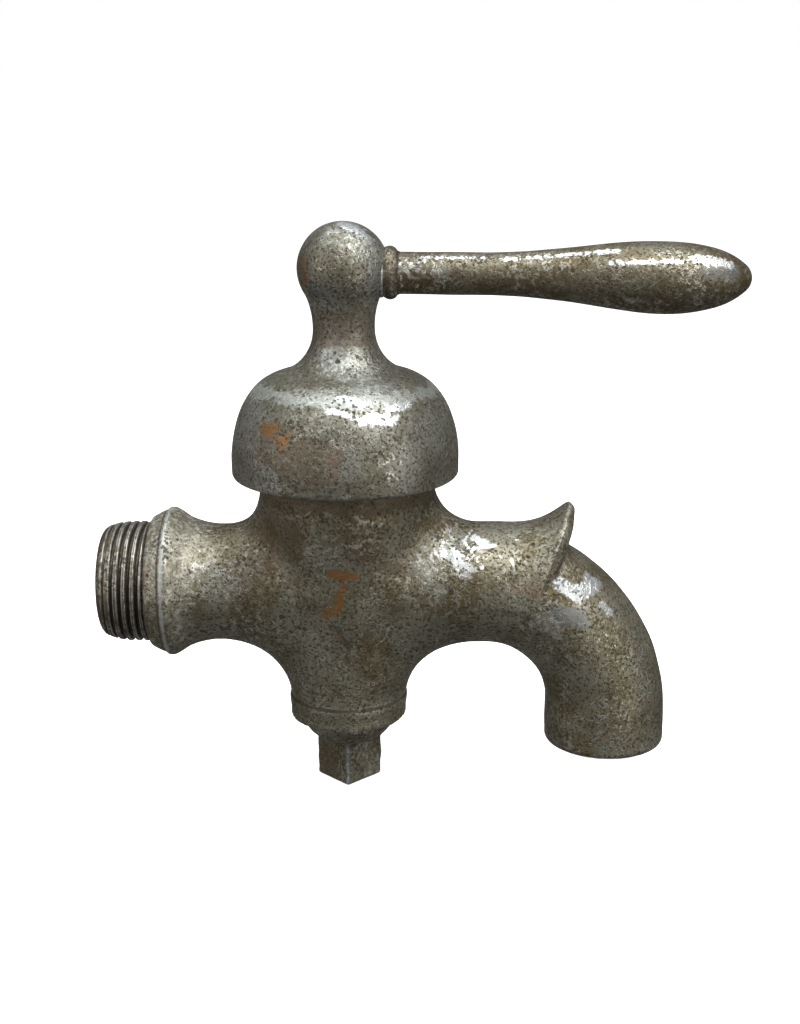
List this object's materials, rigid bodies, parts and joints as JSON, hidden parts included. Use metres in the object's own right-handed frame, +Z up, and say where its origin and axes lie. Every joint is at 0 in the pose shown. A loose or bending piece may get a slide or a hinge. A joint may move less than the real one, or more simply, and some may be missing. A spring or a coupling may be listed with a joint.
{
  "type": "self-closing lever faucet",
  "caption": "Old nickel-plated brass water faucet with a bell cap, a bat lever, a curved spout with a lip and a threaded inlet.",
  "frame": {"origin": "centre of the inlet's end face, on the inlet's axis", "axes": "+X from the inlet towards the spout, +Z up along the barrel, +Y to the left seen from the inlet"},
  "size_m": [0.1384, 0.049, 0.1242],
  "materials": {
    "plated_brass": "worn nickel plate over brass",
    "bare_brass": "turned",
    "bronze_pin": "drawn",
    "spring_bronze": "drawn wire",
    "fibre": "matt",
    "packing": "waxed",
    "rubber": "matt"
  },
  "bodies": {
    "body": {"faucet_body": "plated_brass", "seat_ring": "bare_brass", "bonnet": "bare_brass", "bonnet_gasket": "fibre", "packing_rings": "packing", "packing_gland": "bare_brass", "packing_nut": "bare_brass", "bottom_plug": "plated_brass", "bottom_plug_gasket": "fibre", "stop_pins": "bronze_pin", "spring_anchor_pin": "bronze_pin", "thrust_washer": "fibre", "return_spring": "spring_bronze"},
    "handle": {"handle_bell": "plated_brass", "lever_handle": "plated_brass", "spindle": "bare_brass", "spring_hook_pin": "bronze_pin"},
    "valve": {"valve_stem": "bare_brass", "drive_pin": "bronze_pin", "washer_cup": "bare_brass", "valve_washer": "rubber", "washer_nut": "bare_brass"}
  },
  "joints": [
    {"name": "lever_turn", "type": "hinge", "parent": "body", "child": "handle", "pos_m": [0.0535, 0, 0.0676], "axis": [0, 0, 1], "range_deg": [0, 90], "stiffness_Nm_per_rad": 0.32, "springref_deg": -45.84, "deforming": ["return_spring"]},
    {"name": "valve_travel", "type": "slide", "parent": "body", "child": "valve", "axis": [0, 0, -1], "range_m": [0, 0.004]}
  ],
  "couplings": [
    {"joint": "valve_travel", "follows": "lever_turn", "m_per_rad": 0.002546}
  ]
}
